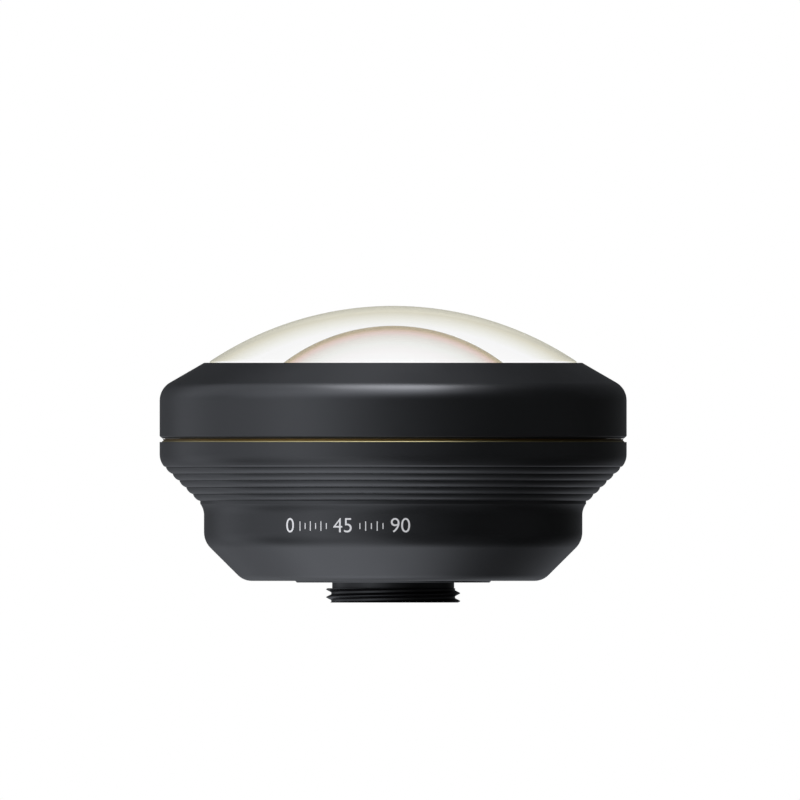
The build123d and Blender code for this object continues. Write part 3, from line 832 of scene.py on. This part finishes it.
class LENS_OT_front_glass(bpy.types.Operator):
    """Front glass: a domed thick meniscus with a ground shoulder"""

    bl_idname = "lens.front_glass"
    bl_label = "Front glass"

    def execute(self, context):
        back_pole_z = DOME_POLE_Z - DOME_THICKNESS
        back_centre_z = back_pole_z - DOME_BACK_FACE_RADIUS
        back_land = sqrt(DOME_BACK_FACE_RADIUS**2 - (FRONT_SEAT_Z - back_centre_z) ** 2)
        edge = [(DOME_RADIUS, cone_z(DOME_RADIUS, GLASS_DEPTH)),
                (FRONT_RADIUS, cone_z(FRONT_RADIUS, GLASS_DEPTH)), (FRONT_RADIUS, FRONT_SEAT_Z)]
        points = lens_points(DOME_POLE_Z, DOME_FACE_RADIUS, DOME_RADIUS, edge,
                             back_pole_z, DOME_BACK_FACE_RADIUS, back_land)
        piece = turned("front_glass", points)
        finish_piece(piece, "barrel", "front_glass", ["front_element"], "dome", "dome_back", "ground")
        dome_centre = Vector((0, 0, DOME_POLE_Z - DOME_FACE_RADIUS))
        back_centre = Vector((0, 0, back_centre_z))
        for face in piece.data.polygons:
            centre = face.center / MM
            across = sqrt(centre.x**2 + centre.y**2)
            on_dome = abs((centre - dome_centre).length - DOME_FACE_RADIUS) < LENS_FIT
            on_step = abs(across - DOME_RADIUS) < 2 * LENS_FIT and centre.z > RIM_Z - LIP_THICKNESS
            on_back = abs((centre - back_centre).length - DOME_BACK_FACE_RADIUS) < LENS_FIT
            face.material_index = 0 if on_dome or on_step else 1 if on_back else 2
        return {"FINISHED"}


def screw_places():
    """Where the mount screws stand, half way between the recess and the edge of the pad."""
    middle = (THREAD_RADIUS + RECESS_PLAY + FLANGE_RADIUS - PAD_CHAMFER) / 2
    for screw in range(SCREW_COUNT):
        angle = SCREW_FIRST_ANGLE + 2 * pi * screw / SCREW_COUNT
        yield middle * cos(angle), middle * sin(angle), angle


def move_mesh(piece, x, y, angle=0.0):
    """Moves a piece's mesh in edit mode, so that its object stays at the origin."""
    with editing(piece):
        if angle:
            bpy.ops.transform.rotate(value=-angle, orient_axis="Z", center_override=(0, 0, 0))
        bpy.ops.transform.translate(value=(x * MM, y * MM, 0))


class LENS_OT_mount(bpy.types.Operator):
    """Mount ring: raised pad with countersinks, run-out recess, relief groove and a cut thread"""

    bl_idname = "lens.mount"
    bl_label = "Mount"

    def execute(self, context):
        crest = THREAD_RADIUS
        root = crest - sizes().thread_depth / MM
        relief = crest - RELIEF_DEPTH
        recess = crest + RECESS_PLAY
        recess_z = PAD_FACE_Z + RECESS_DEPTH
        bore = REAR_RADIUS + LENS_FIT
        land = REAR_RADIUS - LAND
        points = [
            (relief, THREAD_LENGTH), (relief, recess_z), (recess, recess_z), (recess, PAD_FACE_Z),
            (FLANGE_RADIUS - PAD_CHAMFER, PAD_FACE_Z), (FLANGE_RADIUS, PAD_FACE_Z + PAD_CHAMFER),
            (FLANGE_RADIUS, MOUNT_TOP_Z), (land, MOUNT_TOP_Z), (land, REAR_SEAT_Z), (bore, REAR_SEAT_Z),
            (bore, THREAD_END_Z),
        ]
        piece = turned("mount_thread", points, closed=False)
        add_thread(piece, crest, root, sizes().thread_pitch / MM, THREAD_END_Z, THREAD_LENGTH, FIRST_CREST_Z)
        head, shank = SCREW_HEAD_RADIUS + SCREW_PLAY, SCREW_RADIUS + SCREW_PLAY
        below, above = PAD_FACE_Z - SCREW_SINK, MOUNT_TOP_Z + SCREW_SINK
        for x, y, angle in screw_places():
            cutter = turned("countersink", [
                (0, below), (head, below), (head, PAD_FACE_Z), (shank, PAD_FACE_Z + SCREW_HEAD_DEPTH),
                (shank, above), (0, above)], SCREW_STEPS, closed=False, rounding=0)
            move_mesh(cutter, x, y)
            cut(piece, cutter)
        finish_piece(piece, "barrel", "mount_black", ["mount_ring"], "mount")
        return {"FINISHED"}


class LENS_OT_screws(bpy.types.Operator):
    """Countersunk mount screws with a six-sided drive"""

    bl_idname = "lens.screws"
    bl_label = "Mount screws"

    def execute(self, context):
        face_z = PAD_FACE_Z + SCREW_SINK
        shank_top_z = CELL_BOTTOM_Z + WEB_THICKNESS - SCREW_PLAY - SCREW_SINK
        screws = []
        for x, y, angle in screw_places():
            screw = turned("mount_screw", [
                (0, face_z), (SCREW_HEAD_RADIUS, face_z), (SCREW_RADIUS, PAD_FACE_Z + SCREW_HEAD_DEPTH),
                (SCREW_RADIUS, shank_top_z), (0, shank_top_z)], SCREW_STEPS, closed=False, rounding=SCREW_SINK)
            cut(screw, new_shape(
                bpy.ops.mesh.primitive_cylinder_add, vertices=SCREW_DRIVE_SIDES, radius=SCREW_DRIVE_RADIUS * MM,
                depth=2 * SCREW_DRIVE_DEPTH * MM, location=(0, 0, face_z * MM)))
            move_mesh(screw, x, y, angle)
            screws.append(screw)
        finish_piece(join(screws), "barrel", "screw_steel", ["mount_screws"], "screw")
        return {"FINISHED"}


class LENS_OT_scale(bpy.types.Operator):
    """Printed scale on the neck: plain numbers with fine ticks between them"""

    bl_idname = "lens.scale"
    bl_label = "Scale"

    def execute(self, context):
        height = sizes().marking_height / MM
        prints = []
        numbers = []
        for step in range(0, SCALE_STEPS + 1, SCALE_NUMBER_STEPS):
            angle = radians(SCALE_START + step * SCALE_STEP)
            number = self.number(str(step // SCALE_NUMBER_STEPS * SCALE_NUMBER_UNIT), height)
            numbers.append((angle, number.dimensions.x / 2 + SCALE_CLEAR))
            self.wrap(number, angle)
            prints.append(number)
        for step in range(SCALE_STEPS + 1):
            angle = radians(SCALE_START + step * SCALE_STEP)
            if all(abs(angle - middle) * NECK_RADIUS > clear for middle, clear in numbers):
                tick = self.tick(SCALE_SHORT_TICK if step % 2 else SCALE_LONG_TICK)
                self.wrap(tick, angle)
                prints.append(tick)
        scale = join(prints)
        scale.name = "neck_scale"
        finish_piece(scale, "barrel", "anodised_black", [], "print")
        return {"FINISHED"}

    def number(self, text, height):
        figures = new_shape(bpy.ops.object.text_add).data
        figures.body = text
        figures.align_x = figures.align_y = "CENTER"
        figures.size = height / FONT_CAP_SHARE
        figures.offset = NUMBER_WEIGHT
        figures.resolution_u = NUMBER_CURVE_STEPS
        bpy.ops.object.convert(target="MESH")
        return bpy.context.object

    def tick(self, height):
        tick = new_shape(bpy.ops.mesh.primitive_grid_add, x_subdivisions=2, y_subdivisions=TICK_ROWS, size=1)
        with editing(tick):
            bpy.ops.transform.resize(value=(SCALE_TICK_WIDTH, height, 1))
        return tick

    def wrap(self, part, angle):
        """Cuts a flat part into strips, thickens it and lays it round the neck."""
        width = part.dimensions.x
        with editing(part):
            line = -width / 2 + PRINT_GRID
            while line < width / 2:
                bpy.ops.mesh.select_all(action="SELECT")
                bpy.ops.mesh.bisect(plane_co=(line, 0, 0), plane_no=(1, 0, 0))
                line += PRINT_GRID
            bpy.ops.mesh.select_all(action="SELECT")
            bpy.ops.mesh.normals_make_consistent(inside=False)
            bpy.ops.mesh.extrude_region_move(TRANSFORM_OT_translate={"value": (0, 0, PRINT_THICKNESS)})
            bpy.ops.mesh.select_all(action="SELECT")
            bpy.ops.mesh.normals_make_consistent(inside=False)
            mesh = bmesh.from_edit_mesh(part.data)
            for vert in mesh.verts:
                turn = angle + vert.co.x / NECK_RADIUS
                radius = NECK_RADIUS + vert.co.z
                vert.co = Vector((radius * sin(turn), -radius * cos(turn), SCALE_MIDDLE_Z + vert.co.y)) * MM
            bmesh.update_edit_mesh(part.data)
        weld(part)


class LENS_OT_inner_metal(bpy.types.Operator):
    """Light trap and retaining rings that show through the glass"""

    bl_idname = "lens.inner_metal"
    bl_label = "Inner metal"

    def execute(self, context):
        throat = CELL_RADIUS + TRAP_THROAT_GAP
        mouth = TRAP_RADIUS - TRAP_WALL
        run = (mouth - throat) / TRAP_STEPS
        rise = (TRAP_TOP_Z - TRAP_LOW_Z - TRAP_FOOT_HEIGHT) / TRAP_STEPS
        points = [(throat, TRAP_LOW_Z)]
        for step in range(TRAP_STEPS):
            tread_z = TRAP_LOW_Z + TRAP_FOOT_HEIGHT + step * rise
            points += [(throat + step * run, tread_z), (throat + (step + 1) * run, tread_z)]
        points += [(mouth, TRAP_TOP_Z), (TRAP_RADIUS, TRAP_TOP_Z), (TRAP_RADIUS, TRAP_LOW_Z)]
        finish_piece(turned("light_trap", points), "barrel", "matt_black_metal", ["hood_baffle"], "matt")
        self.retainer("front_retainer", "second_retainer", SECOND_RADIUS, RETAINER_RADIUS,
                      RETAINER_LOW_Z, RETAINER_TOP_Z, RETAINER_TOP_Z)
        self.retainer("back_retainer", "rear_retainer", REAR_RADIUS, REAR_RETAINER_RADIUS,
                      REAR_RETAINER_LOW_Z, REAR_EDGE_Z, REAR_RETAINER_LOW_Z)
        return {"FINISHED"}

    def retainer(self, name, node, glass, radius, low, high, face_z):
        """A retaining ring over the land of its glass, with slots in its outer face."""
        land = glass - LAND
        ring = turned(name, [(land, low), (radius, low), (radius, high), (land, high)], SMALL_TURN_STEPS)
        cut(ring, new_shape(bpy.ops.mesh.primitive_cube_add, size=MM, location=(0, 0, face_z * MM),
                            scale=(SLOT_REACH * radius, SLOT_WIDTH, 2 * SLOT_DEPTH)))
        finish_piece(ring, "barrel", "matt_black_metal", [node], "matt")


class LENS_OT_inner_glass(bpy.types.Operator):
    """Second glass and rear glass"""

    bl_idname = "lens.inner_glass"
    bl_label = "Inner glass"

    def execute(self, context):
        land = SECOND_RADIUS - LAND
        back_pole_z = SECOND_POLE_Z - SECOND_THICKNESS
        back_centre_z = back_pole_z - SECOND_BACK_FACE_RADIUS
        back_land = sqrt(SECOND_BACK_FACE_RADIUS**2 - (SECOND_SEAT_Z - back_centre_z) ** 2)
        edge = [(SECOND_RADIUS, SECOND_SEAT_Z + SECOND_EDGE), (SECOND_RADIUS, SECOND_SEAT_Z)]
        second = turned("second_glass", lens_points(
            SECOND_POLE_Z, SECOND_FACE_RADIUS, land, edge, back_pole_z, SECOND_BACK_FACE_RADIUS, back_land))
        finish_piece(second, "barrel", "inner_glass", ["second_element"], "green")

        rear_land = REAR_RADIUS - LAND
        edge = [(REAR_RADIUS, REAR_SEAT_Z), (REAR_RADIUS, REAR_EDGE_Z)]
        rear = turned("rear_glass", lens_points(
            REAR_FRONT_POLE_Z, REAR_FACE_RADIUS, rear_land, edge,
            REAR_BACK_POLE_Z, -REAR_BACK_FACE_RADIUS, rear_land), SMALL_TURN_STEPS)
        finish_piece(rear, "barrel", "inner_glass", ["rear_element"], "violet")
        return {"FINISHED"}


CAD_FINISHES = {
    "matt": ("inner_cell", "stack_retainer", "middle_spacer", "rear_spacer", "aperture_stop"),
    "shim": ("focus_shim",), "amber": ("third_element",), "violet": ("doublet_front",), "green": ("doublet_rear",),
    "rubber": ("front_seal", "rear_gasket"), "washer": ("slip_washer",),
}


class LENS_OT_kept_nodes(bpy.types.Operator):
    """Finishes of the inner pieces whose frame shape is shown as it is"""

    bl_idname = "lens.kept_nodes"
    bl_label = "Inner pieces"

    def execute(self, context):
        for finish, nodes in CAD_FINISHES.items():
            for node in nodes:
                give_finishes(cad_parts[node], finish)
        return {"FINISHED"}


# Stage, with the photograph's width and scale. Other lengths are in metres
PIXELS = 800
MM_PER_PIXEL = 0.127
AXIS_X_PIXEL = 393.17
GROUND_Y_PIXEL = 602.6
CAMERA_DISTANCE = 0.3
CAMERA_CLIP = (0.01, 10)
FLOOR_SIZE = 6.0
FLOOR_COLOUR = (0.8, 0.8, 0.8)
FLOOR_ROUGHNESS = 0.9
FLOOR_GLOW = 0.35
WORLD_LIGHT = 0.28
LAMP_COLOUR = (0.92, 0.93, 1.00)
LAMP_TARGET = (0, 0, 0.02)
TOP_SOFTBOX = ((0, -0.17, 0.9), (0.55, 0.42), 5.04)  # place, size and power
SIDE_FILL = ((-0.62, -0.42, 0.10), (0.3, 0.1), 3.6)
TENT_RADIUS = 1.5
TENT_STEPS = 4
TENT_COLOUR = (0.028, 0.029, 0.029)
CARD_COLOUR = (0.94, 0.98, 1.08)

# Soft cards of the tent: the cosines between which their edges fade, then direction and brightness
TENT_CARDS = (
    ((0.8, 0.99), (
        (-0.74, 0.67, 0, 0.09), (-0.95, 0.31, 0, 0.57), (-0.87, -0.5, 0, 0.96), (-0.59, -0.81, 0, 0.7),
        (-0.21, -0.98, 0, 0.18), (0.21, -0.98, 0, 0.12), (0.97, -0.24, 0, 0.06), (-0.11, 0.97, 0.21, 0.02),
        (-0.58, 0.17, 0.79, 0.41), (-0.31, -0.16, 0.94, 1.11), (0.54, 0.69, 0.49, 0.03), (-0.49, 0.59, -0.64, 0.31),
        (-0.43, 0.25, -0.87, 0.42), (-0.17, 0.03, -0.98, 1.5), (0.17, 0.03, -0.98, 0.22), (0.49, 0.59, -0.64, 0.04),
        (0.25, 0.93, -0.26, 0.03), (-0.12, 0.93, -0.35, 0.06), (-0.09, 0.75, -0.65, 0.07), (0.07, 0.74, -0.67, 0.04),
        (0.14, 0.86, -0.49, 0.11), (-0.86, 0.14, -0.49, 0.35), (-0.43, -0.6, -0.67, 1.11), (0.43, -0.6, -0.67, 0.13),
    )),
    ((0.94, 0.998), (
        (-0.07, -0.06, 1, 1.16), (0.07, -0.06, 1, 0.86), (-0.03, 0.5, 0.86, 0.28),
    )),
    ((0.92, 0.997), (
        (-0.83, -0.23, 0.51, 1.23), (-0.57, -0.58, 0.58, 1.62), (-0.25, -0.75, 0.61, 1.25), (0.12, -0.78, 0.61, 0.74),
    )),
    ((0.88, 0.995), (
        (-0.73, 0.43, 0.53, 0.42),
    )),
    ((0.965, 0.999), (
        (-0.4, -0.6, 0.7, 0.19), (-0.15, -0.68, 0.72, 0.82), (0.12, -0.69, 0.72, 1.29), (0.34, -0.62, 0.7, 0.5),
    )),
    ((0.968, 0.999), (
        (-0.5, -0.38, 0.78, 0.39), (-0.29, -0.5, 0.81, 0.99), (-0.08, -0.55, 0.83, 2.13), (0.14, -0.55, 0.83, 2.02),
        (0.34, -0.48, 0.81, 0.98), (-0.1, -0.4, 0.91, 1.4), (0.15, -0.39, 0.91, 2.73),
    )),
)


class LENS_OT_stage(bpy.types.Operator):
    """Pale floor, studio tent with soft cards, two softboxes and the camera"""

    bl_idname = "lens.stage"
    bl_label = "Stage"

    def execute(self, context):
        self.world()
        self.floor()
        self.tent()
        self.softbox("top_softbox", *TOP_SOFTBOX)
        self.softbox("side_fill", *SIDE_FILL).visible_glossy = False
        self.camera()
        return {"FINISHED"}

    def world(self):
        """White as seen, through clear glass and in reflections too, and dimmer as light."""
        world = bpy.context.scene.world = bpy.data.worlds.new("studio")
        world.use_nodes = True
        tree = world.node_tree
        path = add_node(tree, "LightPath").outputs
        bounces = maths(tree, "ADD", path["Glossy Depth"], path["Diffuse Depth"], use_clamp=True)
        straight = maths(tree, "GREATER_THAN", path["Is Transmission Ray"], bounces)
        direct = maths(tree, "ADD", path["Is Camera Ray"], path["Is Glossy Ray"], use_clamp=True)
        level = map_range(tree, maths(tree, "ADD", direct, straight, use_clamp=True), target=(WORLD_LIGHT, 1))
        feed(tree, tree.nodes["Background"], {"Color": (*WHITE, 1), "Strength": level})

    def floor(self):
        """A pale floor that keeps the shadow, and is clear from below."""
        floor = new_shape(bpy.ops.mesh.primitive_plane_add, size=FLOOR_SIZE)
        floor.name = "floor"
        material, tree, shader = new_material("pale_floor")
        feed(tree, shader, {
            "Base Color": (*FLOOR_COLOUR, 1), "Roughness": FLOOR_ROUGHNESS, "Specular IOR Level": 0.0,
            "Emission Color": (*WHITE, 1), "Emission Strength": FLOOR_GLOW})
        both = add_node(tree, "MixShader", {
            "Fac": add_node(tree, "NewGeometry").outputs["Backfacing"],
            1: shader.outputs["BSDF"],
            2: add_node(tree, "BsdfTransparent").outputs["BSDF"]})
        feed(tree, tree.nodes["Material Output"], {"Surface": both.outputs["Shader"]})
        floor.data.materials.append(material)
        floor.visible_glossy = floor.visible_diffuse = floor.visible_shadow = False

    def tent(self):
        """A dark tent with soft cards, which only reflections see."""
        tent = new_shape(bpy.ops.mesh.primitive_ico_sphere_add, subdivisions=TENT_STEPS, radius=TENT_RADIUS)
        tent.name = "studio_tent"
        material, tree, shader = new_material("tent_cards")
        material.cycles.emission_sampling = "NONE"
        place = object_place(tree)
        total = 0.0
        for edge, cards in TENT_CARDS:
            for *middle, brightness in cards:
                toward = Vector(middle).normalized() / TENT_RADIUS
                along = vector_maths(tree, "DOT_PRODUCT", place, toward)["Value"]
                card = map_range(tree, along, edge, (0, brightness), interpolation_type="SMOOTHSTEP")
                total = maths(tree, "ADD", card, total)
        glow = vector_maths(tree, "MULTIPLY_ADD", total, CARD_COLOUR, TENT_COLOUR)["Vector"]
        feed(tree, shader, {
            "Base Color": (0, 0, 0, 1), "Specular IOR Level": 0.0, "Emission Strength": 1.0, "Emission Color": glow})
        tent.data.materials.append(material)
        tent.visible_camera = tent.visible_diffuse = tent.visible_transmission = tent.visible_shadow = False

    def softbox(self, name, place, size, power):
        data = bpy.data.lights.new(name, "AREA")
        data.shape = "RECTANGLE"
        data.size, data.size_y = size
        data.energy, data.color = power, LAMP_COLOUR
        lamp = bpy.data.objects.new(name, data)
        bpy.context.scene.collection.objects.link(lamp)
        lamp.location = place
        lamp.rotation_euler = (Vector(LAMP_TARGET) - lamp.location).to_track_quat("-Z", "Y").to_euler()
        lamp.visible_camera = False
        return lamp

    def camera(self):
        """A level camera that frames the lens as the photograph does."""
        data = bpy.data.cameras.new("camera")
        data.type = "ORTHO"
        data.ortho_scale = PIXELS * MM_PER_PIXEL * MM
        data.clip_start, data.clip_end = CAMERA_CLIP
        camera = bpy.data.objects.new("camera", data)
        scene = bpy.context.scene
        scene.collection.objects.link(camera)
        right = (PIXELS / 2 - AXIS_X_PIXEL) * MM_PER_PIXEL * MM
        up = (GROUND_Y_PIXEL - PIXELS / 2) * MM_PER_PIXEL * MM
        camera.location = (right, -CAMERA_DISTANCE, up)
        camera.rotation_euler = (pi / 2, 0, 0)
        scene.camera = camera
        scene.view_settings.view_transform = "Standard"


class LENS_PT_panel(bpy.types.Panel):
    """Lists the builders of the lens."""

    bl_idname = "LENS_PT_panel"
    bl_label = "Fisheye lens"
    bl_space_type = "VIEW_3D"
    bl_region_type = "UI"
    bl_category = "Lens"

    def draw(self, context):
        for group in (context.scene.lens_sizes, context.scene.lens_colours):
            for name in group.bl_rna.properties.keys():
                if name not in ("rna_type", "name"):
                    self.layout.prop(group, name)
        for operator in OPERATORS:
            self.layout.operator(operator.bl_idname)


OPERATORS = (LENS_OT_finishes, LENS_OT_barrel, LENS_OT_front_ring, LENS_OT_accent_ring, LENS_OT_front_glass,
             LENS_OT_mount, LENS_OT_screws, LENS_OT_scale, LENS_OT_inner_metal, LENS_OT_inner_glass,
             LENS_OT_kept_nodes, LENS_OT_stage)
CLASSES = (LensSizes, LensColours, *OPERATORS, LENS_PT_panel)


def register():
    for cls in CLASSES:
        bpy.utils.register_class(cls)
    bpy.types.Scene.lens_sizes = bpy.props.PointerProperty(type=LensSizes)
    bpy.types.Scene.lens_colours = bpy.props.PointerProperty(type=LensColours)


def unregister():
    del bpy.types.Scene.lens_sizes
    del bpy.types.Scene.lens_colours
    for cls in reversed(CLASSES):
        bpy.utils.unregister_class(cls)


def main():
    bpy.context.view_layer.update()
    register()
    for operator in OPERATORS:
        group, name = operator.bl_idname.split(".")
        getattr(getattr(bpy.ops, group), name)()


if __name__ == "__main__":
    main()
